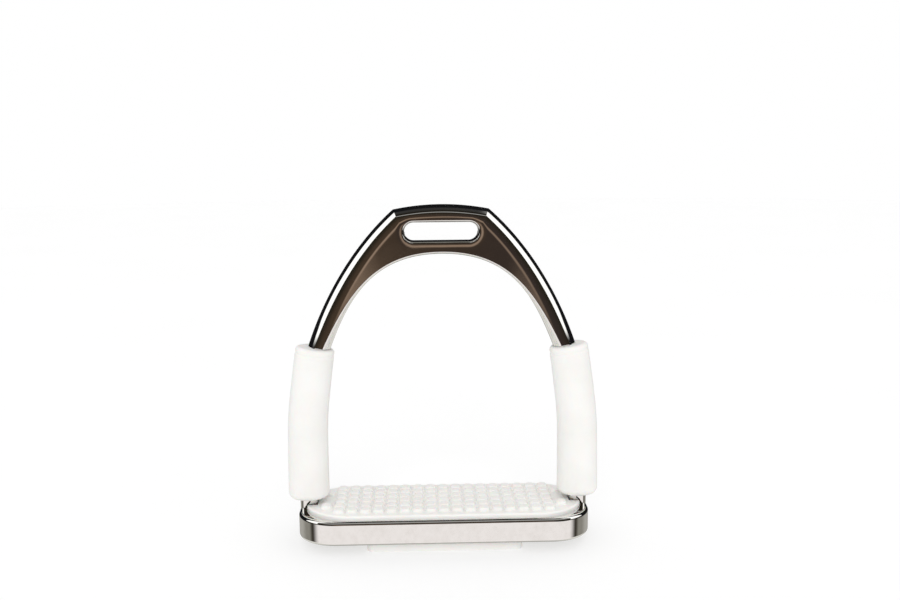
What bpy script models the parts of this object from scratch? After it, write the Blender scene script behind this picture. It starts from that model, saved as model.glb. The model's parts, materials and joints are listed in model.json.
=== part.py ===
"""Double-jointed stirrup iron: a steel bow, four sleeved hinges and a studded tread.

Frame: +X runs across the tread, +Y towards the back of the iron, +Z up. The origin is
the middle of the tread pad's underside, which stands on the ground. Lengths are metres.
The iron is the same to the left and right, so each side is built by the same functions
with side = -1 (left) or +1 (right).
"""
import math

import bmesh
import bpy
from mathutils import Matrix, Vector
from mathutils.geometry import interpolate_bezier

MM = 0.001
SIDES = {"left": -1, "right": 1}
GAP = 0.3 * MM                    # clearance between neighbouring pieces
EMBED = 1.5 * MM                  # how far joined shapes run into each other
ROUND_STEPS = 24                  # sides of pins, bushes, washers and holes

# Tread: a rounded steel tray, open in the middle, that holds the rubber pad.
TRAY_LENGTH = 136 * MM
TRAY_DEPTH = 48 * MM
TRAY_CORNER = 18 * MM
TRAY_BOTTOM = 5 * MM
TRAY_TOP = 16.5 * MM
TRAY_FLOOR = 3 * MM
TRAY_EDGE = 0.9 * MM
OPENING_CLEARANCE = 0.5 * MM

PAD_LENGTH = 129.6 * MM
PAD_DEPTH = 43.4 * MM
PAD_CORNER = 21 * MM
PAD_TOP = 18.5 * MM
PAD_EDGE = 0.8 * MM
LUG_LENGTH = 72 * MM
LUG_DEPTH = 38 * MM
LUG_CORNER = 3 * MM

STUD_PITCH = 6.1 * MM
STUD_COLUMNS = 19
STUD_ROWS = 6
STUD_HEIGHT = 1.5 * MM
STUD_BASE_RADIUS = 2.6 * MM
STUD_TOP_RADIUS = 2.2 * MM
STUD_SIDES = 8
STUD_MARGIN = 5.2 * MM            # stud centre to the pad's rounded end
SLEEVE_FREE_LENGTH = 51.5 * MM    # beyond this, the middle rows make way for the sleeve

# Hinges: pins along X, one above the other on each side.
HINGE_X = 63.8 * MM
LOWER_PIN_Z = 38 * MM
UPPER_PIN_Z = 65 * MM
TONGUE_THICKNESS = 4.2 * MM
TONGUE_RADIUS = 4.6 * MM
SHOULDER_FROM_PIN = 7.5 * MM
PLATE_THICKNESS = 1.6 * MM
PLATE_RADIUS = 4.7 * MM
PIN_RADIUS = 2.0 * MM
PIN_HEAD_RADIUS = 3.0 * MM
PIN_HEAD_THICKNESS = 0.9 * MM
RIVET_END_RADIUS = 2.4 * MM
RIVET_END_THICKNESS = 0.8 * MM
BUSH_WALL = 0.7 * MM
WASHER_RADIUS = 3.4 * MM
WASHER_THICKNESS = 0.7 * MM
POST_THICKNESS = 8 * MM
POST_DEPTH = 9.4 * MM
POST_EDGE = 1.8 * MM

# Bow: two smooth legs that meet in a flat web with a slot for the stirrup leather.
BOW_DEPTH = 10 * MM
BOW_EDGE = 2.5 * MM
BOW_STEPS = 18
CROWN_Z = 158.8 * MM
CROWN_RADIUS = 110 * MM
CORNER_X = 22 * MM
ARCH_Z = 136.4 * MM
SHOULDER_Z = UPPER_PIN_Z + SHOULDER_FROM_PIN
LEG_INNER_X = 59.1 * MM
LEG_OUTER_X = 67.9 * MM
INNER_HANDLES = (38.7 * MM, 35.9 * MM)
OUTER_HANDLES = (31 * MM, 31.5 * MM)
INNER_LEG_TILT = math.radians(19.5)
OUTER_LEG_TILT = math.radians(10.8)
OUTER_TOP_SLOPE = math.radians(41.3)
SLOT_WIDTH = 34 * MM
SLOT_HEIGHT = 8.6 * MM
SLOT_CENTRE_Z = 146.4 * MM
SLOT_CORNER = 4.2 * MM
SLOT_EDGE = 1.2 * MM

# Rubber sleeves over the hinges: upright at the foot, leaning inwards at the top.
SLEEVE_BOTTOM_Z = 21.2 * MM
SLEEVE_TOP_Z = 93 * MM
SLEEVE_BEND_Z = 60 * MM
SLEEVE_BEND_SPAN = 9 * MM
SLEEVE_LEAN = 0.142               # sideways run per height above the bend
SLEEVE_FOOT_RADIUS = 9.6 * MM
SLEEVE_HEAD_RADIUS = 9.1 * MM
SLEEVE_FOOT_ROUND = 2.6 * MM
SLEEVE_HEAD_ROUND = 2 * MM
SLEEVE_WALL = 1.8 * MM
SLEEVE_BORE_TOP_Z = 84 * MM
SLEEVE_MOUTH_RADIUS = 6.4 * MM
SLEEVE_MOUTH_DEPTH = 3 * MM
SLEEVE_RESOLUTION = 10            # bevel resolution: 24 sides
LEG_CLEARANCE = 0.4 * MM
SLEEVE_CHANNEL_RUN = 12 * MM      # how far the leg's channel runs out past the sleeve

STEEL = ("polished_steel", (0.62, 0.60, 0.57), 1.0, 0.08)
LINK_STEEL = ("link_steel", (0.55, 0.55, 0.54), 1.0, 0.30)
BRONZE = ("bush_bronze", (0.52, 0.36, 0.18), 1.0, 0.35)
RUBBER = ("white_rubber", (0.86, 0.84, 0.80), 0.0, 0.55)


# ---------------------------------------------------------------- scene helpers

def clear_scene():
    for old in list(bpy.data.objects):
        bpy.data.objects.remove(old, do_unlink=True)


def new_collection(name):
    made = bpy.data.collections.new(name)
    bpy.context.scene.collection.children.link(made)
    return made


def make_material(name, colour, metallic, roughness):
    made = bpy.data.materials.new(name)
    made.use_nodes = True
    shader = made.node_tree.nodes["Principled BSDF"]
    shader.inputs["Base Color"].default_value = (*colour, 1.0)
    shader.inputs["Metallic"].default_value = metallic
    shader.inputs["Roughness"].default_value = roughness
    made.diffuse_color = (*colour, 1.0)
    return made


def add_part(name, mesh, finish):
    """A named piece in the object's collection, with its own material."""
    slot, colour, metallic, roughness = finish
    mesh.materials.clear()
    mesh.materials.append(make_material(f"{name}_{slot}", colour, metallic, roughness))
    mesh.shade_smooth()
    mesh.set_sharp_from_angle(angle=math.radians(35))
    part = bpy.data.objects.new(name, mesh)
    parts_collection.objects.link(part)
    return part


def add_helper(name, mesh):
    """A cutter, or a shape to be joined to a part: hidden and drawn as wire."""
    helper = bpy.data.objects.new(name, mesh)
    helper.hide_render = True
    helper.display_type = "WIRE"
    cutters_collection.objects.link(helper)
    return helper


def combine(part, helper, operation, solver="EXACT"):
    change = part.modifiers.new(helper.name, "BOOLEAN")
    change.operation = operation
    change.object = helper
    change.solver = solver


def round_edges(part, width, segments=2):
    change = part.modifiers.new("rounded edges", "BEVEL")
    change.width = width
    change.segments = segments
    change.use_clamp_overlap = False
    change.limit_method = "ANGLE"
    change.angle_limit = math.radians(40)


# ---------------------------------------------------------------- shape helpers

def curve_mesh(curve, placed):
    """The evaluated, welded mesh of a curve object that stands at the matrix placed."""
    guide = bpy.data.objects.new("guide", curve)
    cutters_collection.objects.link(guide)
    graph = bpy.context.evaluated_depsgraph_get()
    mesh = bpy.data.meshes.new_from_object(guide.evaluated_get(graph))
    mesh.transform(placed)
    build = bmesh.new()
    build.from_mesh(mesh)
    bmesh.ops.remove_doubles(build, verts=build.verts, dist=0.01 * MM)
    bmesh.ops.recalc_face_normals(build, faces=build.faces)
    build.to_mesh(mesh)
    build.free()
    bpy.data.objects.remove(guide)
    return mesh


def prism(outline, thickness, placed):
    """A flat outline of (u, v) points, thickness deep and centred on its own plane."""
    curve = bpy.data.curves.new("outline", "CURVE")
    curve.dimensions = "2D"
    curve.fill_mode = "BOTH"
    curve.extrude = thickness / 2
    spline = curve.splines.new("POLY")
    spline.points.add(len(outline) - 1)
    for point, (u, v) in zip(spline.points, outline):
        point.co = (u, v, 0, 1)
    spline.use_cyclic_u = True
    return curve_mesh(curve, placed)


def front_plane(y=0.0):
    """Places an outline's u along X and v along Z, at depth y."""
    return Matrix.Translation((0, y, 0)) @ Matrix.Rotation(math.pi / 2, 4, "X")


def side_plane(x):
    """Places an outline's u along Y and v along Z, at width x."""
    turn = Matrix.Rotation(math.pi / 2, 4, "Z") @ Matrix.Rotation(math.pi / 2, 4, "X")
    return Matrix.Translation((x, 0, 0)) @ turn


def slab(outline, bottom, top):
    """An outline in X and Y, filled from height bottom to height top."""
    return prism(outline, top - bottom, Matrix.Translation((0, 0, (bottom + top) / 2)))


def rounded_rectangle(length, depth, corner, steps=10, centre_v=0.0):
    """Corner arcs of a rectangle, anticlockwise from its lower right."""
    outline = []
    for quarter in range(4):
        start = -math.pi / 2 + quarter * math.pi / 2
        side_u = 1 if quarter in (0, 1) else -1
        side_v = 1 if quarter in (1, 2) else -1
        for step in range(steps + 1):
            angle = start + step / steps * math.pi / 2
            u = side_u * (length / 2 - corner) + corner * math.cos(angle)
            v = side_v * (depth / 2 - corner) + corner * math.sin(angle)
            outline.append((u, v + centre_v))
    return outline


def box(low, high):
    build = bmesh.new()
    size = Vector(high) - Vector(low)
    middle = (Vector(high) + Vector(low)) / 2
    bmesh.ops.create_cube(build, size=1, matrix=Matrix.LocRotScale(middle, None, size))
    mesh = bpy.data.meshes.new("box")
    build.to_mesh(mesh)
    build.free()
    return mesh


def x_cylinder(radius, x_from, x_to, z):
    """A cylinder along X at Y = 0 and height z."""
    build = bmesh.new()
    placed = Matrix.Translation(((x_from + x_to) / 2, 0, z)) @ Matrix.Rotation(math.pi / 2, 4, "Y")
    bmesh.ops.create_cone(build, cap_ends=True, segments=ROUND_STEPS, radius1=radius,
                          radius2=radius, depth=abs(x_to - x_from), matrix=placed)
    mesh = bpy.data.meshes.new("cylinder")
    build.to_mesh(mesh)
    build.free()
    return mesh


def turned_on_x(profile, z):
    """A solid turned about the X axis at height z from (x, radius) points, ends closed."""
    build = bmesh.new()
    verts = [build.verts.new((x, 0, radius)) for x, radius in profile]
    edges = [build.edges.new(pair) for pair in zip(verts, verts[1:] + verts[:1])]
    bmesh.ops.spin(build, geom=verts + edges, cent=(0, 0, 0), axis=(1, 0, 0),
                   angle=2 * math.pi, steps=ROUND_STEPS, use_merge=True)
    bmesh.ops.remove_doubles(build, verts=build.verts, dist=0.01 * MM)
    bmesh.ops.recalc_face_normals(build, faces=build.faces)
    bmesh.ops.translate(build, verts=build.verts, vec=(0, 0, z))
    mesh = bpy.data.meshes.new("turned")
    build.to_mesh(mesh)
    build.free()
    return mesh


def swept_round(path, sides_resolution):
    """A solid of round section along (centre, radius) stations."""
    curve = bpy.data.curves.new("path", "CURVE")
    curve.dimensions = "3D"
    curve.bevel_depth = 1.0
    curve.bevel_resolution = sides_resolution
    curve.use_fill_caps = True
    spline = curve.splines.new("POLY")
    spline.points.add(len(path) - 1)
    for point, (centre, radius) in zip(spline.points, path):
        point.co = (*centre, 1)
        point.radius = radius
    return curve_mesh(curve, Matrix.Identity(4))


# ---------------------------------------------------------------- bow

def inner_edge():
    """Right half of the foot opening's edge, from the crown of the arch to the shoulder."""
    crown = Vector((0, ARCH_Z))
    foot = Vector((LEG_INNER_X, SHOULDER_Z))
    lean = Vector((-math.sin(INNER_LEG_TILT), math.cos(INNER_LEG_TILT)))
    return interpolate_bezier(crown, crown + Vector((INNER_HANDLES[0], 0)),
                              foot + INNER_HANDLES[1] * lean, foot, BOW_STEPS)


def outer_edge():
    """Right half of the bow's outside, from the top corner to the shoulder."""
    corner = Vector((CORNER_X, crown_height(CORNER_X)))
    foot = Vector((LEG_OUTER_X, SHOULDER_Z))
    slope = Vector((math.cos(OUTER_TOP_SLOPE), -math.sin(OUTER_TOP_SLOPE)))
    lean = Vector((-math.sin(OUTER_LEG_TILT), math.cos(OUTER_LEG_TILT)))
    return interpolate_bezier(corner, corner + OUTER_HANDLES[0] * slope,
                              foot + OUTER_HANDLES[1] * lean, foot, BOW_STEPS)


def crown_height(x):
    return CROWN_Z - CROWN_RADIUS + math.sqrt(CROWN_RADIUS ** 2 - x ** 2)


def bow_outline():
    """The whole bow, anticlockwise: down the inside of the right leg and round again."""
    inside = [tuple(point) for point in inner_edge()]
    outside = [tuple(point) for point in outer_edge()]
    crown = [(x, crown_height(x)) for x in (CORNER_X * step / 4 for step in range(3, 0, -1))]
    right = inside + outside[::-1] + crown
    left = [(-x, z) for x, z in reversed(right)]
    top_middle = [(0, CROWN_Z)]
    return right + top_middle + left[:-1]


def tongue_mesh(side, pin_z, root_z):
    """Flat tongue with a round end about the pin, reaching into the body at root_z."""
    away = 1 if root_z > pin_z else -1
    outline = [(TONGUE_RADIUS, root_z), (-TONGUE_RADIUS, root_z)]
    for step in range(ROUND_STEPS // 2 + 1):
        angle = math.pi * step / (ROUND_STEPS // 2)
        outline.append((-TONGUE_RADIUS * math.cos(angle),
                        pin_z - away * TONGUE_RADIUS * math.sin(angle)))
    return prism(outline, TONGUE_THICKNESS, side_plane(side * HINGE_X))


def add_tongue(part, label, side, pin_z, root_z):
    """Joins a tongue to a part and bores it for its bush."""
    combine(part, add_helper(f"{label}_tongue", tongue_mesh(side, pin_z, root_z)), "UNION")
    reach = TONGUE_THICKNESS
    hole_radius = PIN_RADIUS + GAP + BUSH_WALL + GAP
    hole = x_cylinder(hole_radius, side * HINGE_X - reach, side * HINGE_X + reach, pin_z)
    combine(part, add_helper(f"{label}_bush_hole", hole), "DIFFERENCE")


def make_bow():
    bow = add_part("bow", prism(bow_outline(), BOW_DEPTH, front_plane()), STEEL)
    round_edges(bow, BOW_EDGE, segments=3)
    slot = rounded_rectangle(SLOT_WIDTH, SLOT_HEIGHT, SLOT_CORNER, 6, SLOT_CENTRE_Z)
    combine(bow, add_helper("eye_slot", prism(slot, 2 * BOW_DEPTH, front_plane())), "DIFFERENCE")
    for face, direction in (("front", -1), ("back", 1)):
        flare = slot_flare(direction)
        combine(bow, add_helper(f"eye_slot_{face}_edge", flare), "DIFFERENCE")
    for label, side in SIDES.items():
        add_tongue(bow, f"{label}_upper", side, UPPER_PIN_Z, SHOULDER_Z + EMBED)


def slot_flare(direction):
    """A tapered plug that chamfers the slot's rim on one face of the bow."""
    rim_y = direction * BOW_DEPTH / 2
    build = bmesh.new()
    rings = []
    for depth, growth in ((-SLOT_EDGE, 0.0), (SLOT_EDGE, 2 * SLOT_EDGE)):
        outline = rounded_rectangle(SLOT_WIDTH + 2 * growth, SLOT_HEIGHT + 2 * growth,
                                    SLOT_CORNER + growth, 6, SLOT_CENTRE_Z)
        y = rim_y + direction * depth
        rings.append([build.verts.new((x, y, z)) for x, z in outline])
    for ring in rings:
        build.faces.new(ring)
    bmesh.ops.bridge_loops(build, edges=build.edges[:])
    bmesh.ops.remove_doubles(build, verts=build.verts, dist=0.01 * MM)
    bmesh.ops.recalc_face_normals(build, faces=build.faces)
    mesh = bpy.data.meshes.new("flare")
    build.to_mesh(mesh)
    build.free()
    return mesh


# ---------------------------------------------------------------- tread

def make_tread_frame():
    tray = rounded_rectangle(TRAY_LENGTH, TRAY_DEPTH, TRAY_CORNER)
    frame = add_part("tread_frame", slab(tray, TRAY_BOTTOM, TRAY_TOP), STEEL)
    round_edges(frame, TRAY_EDGE)
    floor_top = TRAY_BOTTOM + TRAY_FLOOR
    seat = rounded_rectangle(PAD_LENGTH + 2 * GAP, PAD_DEPTH + 2 * GAP, PAD_CORNER + GAP)
    combine(frame, add_helper("pad_seat", slab(seat, floor_top, 2 * TRAY_TOP)), "DIFFERENCE")
    opening = rounded_rectangle(LUG_LENGTH + 2 * OPENING_CLEARANCE,
                                LUG_DEPTH + 2 * OPENING_CLEARANCE, LUG_CORNER, 4)
    combine(frame, add_helper("lug_opening", slab(opening, 0, TRAY_TOP)), "DIFFERENCE")
    for label, side in SIDES.items():
        half = POST_THICKNESS / 2
        shoulder = LOWER_PIN_Z - SHOULDER_FROM_PIN
        post = box((side * HINGE_X - half, -POST_DEPTH / 2, TRAY_BOTTOM + EMBED),
                   (side * HINGE_X + half, POST_DEPTH / 2, shoulder))
        post_body = add_helper(f"{label}_post", post)
        round_edges(post_body, POST_EDGE)
        combine(frame, post_body, "UNION")
        add_tongue(frame, f"{label}_lower", side, LOWER_PIN_Z, shoulder - EMBED)


def stud_places():
    """Centres of the grip studs: a square grid inside the pad's rounded ends."""
    end_centre = Vector((PAD_LENGTH / 2 - PAD_CORNER, PAD_DEPTH / 2 - PAD_CORNER))
    places = []
    for column in range(STUD_COLUMNS):
        for row in range(STUD_ROWS):
            x = (column - (STUD_COLUMNS - 1) / 2) * STUD_PITCH
            y = (row - (STUD_ROWS - 1) / 2) * STUD_PITCH
            reach = Vector((max(abs(x) - end_centre.x, 0), max(abs(y) - end_centre.y, 0)))
            under_sleeve = abs(x) > SLEEVE_FREE_LENGTH and abs(y) < STUD_PITCH
            if reach.length < PAD_CORNER - STUD_MARGIN and not under_sleeve:
                places.append((x, y))
    return places


def studs_mesh():
    build = bmesh.new()
    height = STUD_HEIGHT + EMBED
    for x, y in stud_places():
        placed = Matrix.Translation((x, y, PAD_TOP - EMBED + height / 2))
        bmesh.ops.create_cone(build, cap_ends=True, segments=STUD_SIDES, depth=height,
                              radius1=STUD_BASE_RADIUS, radius2=STUD_TOP_RADIUS, matrix=placed)
    mesh = bpy.data.meshes.new("studs")
    build.to_mesh(mesh)
    build.free()
    return mesh


def make_tread_pad():
    body = rounded_rectangle(PAD_LENGTH, PAD_DEPTH, PAD_CORNER)
    body_bottom = TRAY_BOTTOM + TRAY_FLOOR + GAP
    pad = add_part("tread_pad", slab(body, body_bottom, PAD_TOP), RUBBER)
    round_edges(pad, PAD_EDGE)
    lug = rounded_rectangle(LUG_LENGTH, LUG_DEPTH, LUG_CORNER, 4)
    combine(pad, add_helper("lug", slab(lug, 0, body_bottom + EMBED)), "UNION")
    for label, side in SIDES.items():
        inner = HINGE_X - POST_THICKNESS / 2 - OPENING_CLEARANCE
        edges = sorted((side * inner, side * TRAY_LENGTH))
        half_depth = POST_DEPTH / 2 + OPENING_CLEARANCE
        notch = box((edges[0], -half_depth, 0), (edges[1], half_depth, 2 * PAD_TOP))
        combine(pad, add_helper(f"{label}_post_notch", notch), "DIFFERENCE")
    combine(pad, add_helper("studs", studs_mesh()), "UNION")


# ---------------------------------------------------------------- hinges

def link_plate_mesh(x):
    """A flat bar with round ends about both pins."""
    outline = []
    steps = ROUND_STEPS // 2
    for pin_z, start in ((UPPER_PIN_Z, 0), (LOWER_PIN_Z, math.pi)):
        for step in range(steps + 1):
            angle = start + math.pi * step / steps
            outline.append((PLATE_RADIUS * math.cos(angle), pin_z + PLATE_RADIUS * math.sin(angle)))
    return prism(outline, PLATE_THICKNESS, side_plane(x))


def make_link_plates(label, side):
    offset = TONGUE_THICKNESS / 2 + GAP + PLATE_THICKNESS / 2
    for place, outwards in (("outer", 1), ("inner", -1)):
        x = side * (HINGE_X + outwards * offset)
        name = f"{label}_{place}_link_plate"
        plate = add_part(name, link_plate_mesh(x), LINK_STEEL)
        for level, pin_z in (("upper", UPPER_PIN_Z), ("lower", LOWER_PIN_Z)):
            hole = x_cylinder(PIN_RADIUS + GAP, x - PLATE_THICKNESS, x + PLATE_THICKNESS, pin_z)
            combine(plate, add_helper(f"{name}_{level}_hole", hole), "DIFFERENCE")


def mirrored(profile, side):
    """Profile stations measured outwards from the hinge's middle, as world X."""
    return [(side * (HINGE_X + along), radius) for along, radius in profile]


def make_pin(label, level, side, pin_z):
    """Rivet with its head outside and its upset end over the washer inside."""
    plate_face = TONGUE_THICKNESS / 2 + GAP + PLATE_THICKNESS
    head = plate_face + GAP
    washer_face = head + WASHER_THICKNESS
    upset = washer_face + GAP
    profile = [(head + PIN_HEAD_THICKNESS, 0), (head + PIN_HEAD_THICKNESS, PIN_HEAD_RADIUS),
               (head, PIN_HEAD_RADIUS), (head, PIN_RADIUS), (-upset, PIN_RADIUS),
               (-upset, RIVET_END_RADIUS), (-upset - RIVET_END_THICKNESS, RIVET_END_RADIUS),
               (-upset - RIVET_END_THICKNESS, 0)]
    add_part(f"{label}_{level}_hinge_pin", turned_on_x(mirrored(profile, side), pin_z), LINK_STEEL)
    ring = [(-head, PIN_RADIUS + GAP), (-head, WASHER_RADIUS),
            (-washer_face, WASHER_RADIUS), (-washer_face, PIN_RADIUS + GAP)]
    add_part(f"{label}_{level}_washer", turned_on_x(mirrored(ring, side), pin_z), LINK_STEEL)


def make_bush(label, level, side, pin_z):
    half = TONGUE_THICKNESS / 2
    inner = PIN_RADIUS + GAP
    ring = [(-half, inner), (-half, inner + BUSH_WALL), (half, inner + BUSH_WALL), (half, inner)]
    add_part(f"{label}_{level}_bush", turned_on_x(mirrored(ring, side), pin_z), BRONZE)


# ---------------------------------------------------------------- sleeves

def sleeve_x(z):
    """Sleeve centre at height z: upright, then a soft bend into a straight lean."""
    above = z - SLEEVE_BEND_Z
    softened = (above + math.hypot(above, SLEEVE_BEND_SPAN)) / 2
    return HINGE_X - SLEEVE_LEAN * softened


def sleeve_radius(z):
    share = (z - SLEEVE_BOTTOM_Z) / (SLEEVE_TOP_Z - SLEEVE_BOTTOM_Z)
    return SLEEVE_FOOT_RADIUS + share * (SLEEVE_HEAD_RADIUS - SLEEVE_FOOT_RADIUS)


def sleeve_stations(side):
    """Outer surface: straight stations with quarter-round shoulders at both ends."""
    stations = []
    rounding = [math.radians(angle) for angle in (0, 30, 60, 90)]
    for angle in rounding:
        z = SLEEVE_BOTTOM_Z + SLEEVE_FOOT_ROUND * (1 - math.cos(angle))
        stations.append((z, sleeve_radius(z) - SLEEVE_FOOT_ROUND * (1 - math.sin(angle))))
    for z in (35 * MM, 45 * MM, 51 * MM, 56 * MM, 61 * MM, 66 * MM, 72 * MM, 82 * MM):
        stations.append((z, sleeve_radius(z)))
    for angle in reversed(rounding):
        z = SLEEVE_TOP_Z - SLEEVE_HEAD_ROUND * (1 - math.cos(angle))
        stations.append((z, sleeve_radius(z) - SLEEVE_HEAD_ROUND * (1 - math.sin(angle))))
    return [(Vector((side * sleeve_x(z), 0, z)), radius) for z, radius in stations]


def bore_stations(side):
    """Inner surface: a narrow mouth round the post, then room for the links."""
    mouth_top = SLEEVE_BOTTOM_Z + SLEEVE_MOUTH_DEPTH
    stations = [(z, SLEEVE_MOUTH_RADIUS) for z in (SLEEVE_BOTTOM_Z - SLEEVE_MOUTH_DEPTH, mouth_top)]
    for z in (mouth_top + EMBED, 40 * MM, 50 * MM, 56 * MM, 61 * MM, 67 * MM, 75 * MM,
              SLEEVE_BORE_TOP_Z):
        stations.append((z, sleeve_radius(z) - SLEEVE_WALL))
    return [(Vector((side * sleeve_x(z), 0, z)), radius) for z, radius in stations]


def leg_channel(label, side):
    """The space that the bow's leg takes up where it enters the sleeve."""
    high = SLEEVE_TOP_Z + SLEEVE_CHANNEL_RUN
    inside = [(point.x - LEG_CLEARANCE, point.y) for point in inner_edge() if point.y < high]
    outside = [(point.x + LEG_CLEARANCE, point.y) for point in outer_edge() if point.y < high]
    outline = [(side * x, z) for x, z in inside + outside[::-1]]
    channel = add_helper(f"{label}_leg_channel",
                         prism(outline, BOW_DEPTH + 2 * LEG_CLEARANCE, front_plane()))
    round_edges(channel, BOW_EDGE)
    return channel


def make_sleeve(label, side):
    mesh = swept_round(sleeve_stations(side), SLEEVE_RESOLUTION)
    sleeve = add_part(f"{label}_sleeve", mesh, RUBBER)
    bore = add_helper(f"{label}_sleeve_bore", swept_round(bore_stations(side), SLEEVE_RESOLUTION))
    combine(bore, leg_channel(label, side), "UNION", "MANIFOLD")
    combine(sleeve, bore, "DIFFERENCE", "MANIFOLD")


clear_scene()
parts_collection = new_collection("stirrup_iron")
cutters_collection = new_collection("cutters")
make_bow()
make_tread_frame()
make_tread_pad()
for side_name, side_sign in SIDES.items():
    make_link_plates(side_name, side_sign)
    for level_name, height in (("upper", UPPER_PIN_Z), ("lower", LOWER_PIN_Z)):
        make_pin(side_name, level_name, side_sign, height)
        make_bush(side_name, level_name, side_sign, height)
    make_sleeve(side_name, side_sign)
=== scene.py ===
"""The finished look of a double-jointed stirrup iron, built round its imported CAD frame.

Frame: +X across the tread, +Y towards the back, +Z up, metres. The polished bow, the tread
tray, the studded pad and the rubber sleeves are rebuilt here as fine meshes in the CAD's own
dimensions. The rivets, link plates, washers and bushes keep their CAD shapes.
"""

import json
import math

import bmesh
import bpy
import numpy as np
from mathutils import Matrix, Vector
from mathutils.geometry import interpolate_bezier


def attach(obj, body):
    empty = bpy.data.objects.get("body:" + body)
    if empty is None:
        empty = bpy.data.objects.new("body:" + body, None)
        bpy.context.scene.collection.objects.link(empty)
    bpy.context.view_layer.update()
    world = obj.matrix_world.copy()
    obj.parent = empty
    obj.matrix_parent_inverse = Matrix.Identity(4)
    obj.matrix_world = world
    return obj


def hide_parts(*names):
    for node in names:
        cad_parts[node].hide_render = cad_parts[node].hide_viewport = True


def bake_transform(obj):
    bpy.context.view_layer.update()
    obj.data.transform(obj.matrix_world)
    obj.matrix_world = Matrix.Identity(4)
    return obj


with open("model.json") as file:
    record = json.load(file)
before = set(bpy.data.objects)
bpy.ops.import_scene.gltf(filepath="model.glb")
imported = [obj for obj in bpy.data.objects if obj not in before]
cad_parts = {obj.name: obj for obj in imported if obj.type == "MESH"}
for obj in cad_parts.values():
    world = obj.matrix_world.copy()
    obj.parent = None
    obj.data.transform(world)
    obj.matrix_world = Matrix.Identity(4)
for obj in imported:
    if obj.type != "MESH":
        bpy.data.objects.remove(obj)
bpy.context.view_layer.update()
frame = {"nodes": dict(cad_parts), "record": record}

MM = 0.001
SIDES = {"left": -1, "right": 1}
GAP = 0.3 * MM
EMBED = 1.5 * MM                  # how far joined shapes run into each other

# Hinges, as in the CAD.
HINGE_X = 63.8 * MM
LOWER_PIN_Z = 38 * MM
UPPER_PIN_Z = 65 * MM
TONGUE_THICKNESS = 4.2 * MM
TONGUE_RADIUS = 4.6 * MM
TONGUE_END_STEPS = 32
BUSH_HOLE_RADIUS = 3.3 * MM
METAL_EDGE = 0.15 * MM            # broken edges of the CAD's plates, pins and bushes
POST_THICKNESS = 8 * MM
POST_DEPTH = 9.4 * MM
POST_EDGE = 3.2 * MM              # rounder than the CAD's
POST_TOP = 30.5 * MM

# Bow outline, as in the CAD. A handle is the length of a curve's control arm.
CROWN_Z = 158.8 * MM
CROWN_RADIUS = 110 * MM
CORNER_X = 22 * MM
ARCH_Z = 136.4 * MM
SHOULDER_Z = 72.5 * MM
LEG_INNER_X = 59.1 * MM
LEG_OUTER_X = 67.9 * MM
INNER_HANDLES = (38.7 * MM, 35.9 * MM)
OUTER_HANDLES = (31 * MM, 31.5 * MM)
INNER_LEG_TILT = math.radians(19.5)
OUTER_LEG_TILT = math.radians(10.8)
OUTER_TOP_SLOPE = math.radians(41.3)
SLOT_WIDTH = 34 * MM
SLOT_HEIGHT = 8.6 * MM
SLOT_CENTRE_Z = 146.4 * MM

# Bow relief. A profile gives the slope of the front face, in degrees, at distances in mm
# from an edge: a steep side, a broad chamfer, then a face that is only slightly crowned.
# A pair of heights is where a change begins and where it is complete.
BOW_HALF = 5 * MM
CROWN_OUTER = ((0, 86), (0.05, 72), (0.4, 59), (1.45, 54), (1.6, 45), (3.25, 40), (3.5, 11),
               (8, 0))
FOOT_OUTER = ((0, 86), (0.05, 70), (0.6, 58), (2.0, 53), (2.15, 45), (3.1, 38), (3.4, 8),
              (8, 0))
ARCH_EDGE = ((0, 60), (0.5, 46), (0.8, 24), (0.9, 0))
SLOT_RIM = ((0, 78), (0.55, 60), (0.65, 22), (1.0, 6), (4, 0), (8, 0))
PROFILE_STEPS = 800
FOOT_PROFILE_BELOW = (122 * MM, 90 * MM)
ARCH_WIDER_BELOW = (130 * MM, 92 * MM)
ARCH_WIDENING = 2.7               # the arch's edge grows by this share, from crown to feet
ARCH_WIDENING_POWER = 1.6

# Bow mesh: lines across the bow, and stations along each line, close together at the edges.
EYE_STEPS = 10
EYE_END_STEPS = 16
LEG_STEPS = 110
LEG_CROWDING = 1.6                # over 1 packs the leg's lines closer under the slot's end
TIP_INNER_X = 14.5 * MM           # arch point under the slot's end
KINK_FADE = 0.3                   # share of the leg over which the slot's end leaves its mark
OUTER_STATIONS = [4 * MM * (k / 24) ** 1.25 for k in range(25)]
INNER_STATIONS = [3.2 * MM * (k / 16) ** 1.4 for k in range(17)]
RIM_STATIONS = [1.5 * MM * (k / 10) ** 1.2 for k in range(11)]
EDGE_SHARE = 0.62                 # of a short line that the edge stations may take
RIM_SHARE = 0.25
BETWEEN = 10

# Tread, as in the CAD. A rounded rectangle is its length, depth and corner radius.
TRAY = (136 * MM, 48 * MM, 18 * MM)
TRAY_BOTTOM = 5 * MM
TRAY_TOP = 16.5 * MM
TRAY_FLOOR_TOP = 8 * MM
PAD = (129.6 * MM, 43.4 * MM, 21 * MM)
PAD_TOP = 18.5 * MM
LUG = (72 * MM, 38 * MM, 3 * MM)
OPENING_CLEARANCE = 0.5 * MM
STUD_PITCH = 6.1 * MM
STUD_COLUMNS = 19
STUD_ROWS = 6
STUD_RADIUS = 2.6 * MM
STUD_MARGIN = 5.2 * MM            # stud centre to the pad's rounded end
SLEEVE_FREE_LENGTH = 51.5 * MM    # past this the middle studs would be under a sleeve

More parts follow.
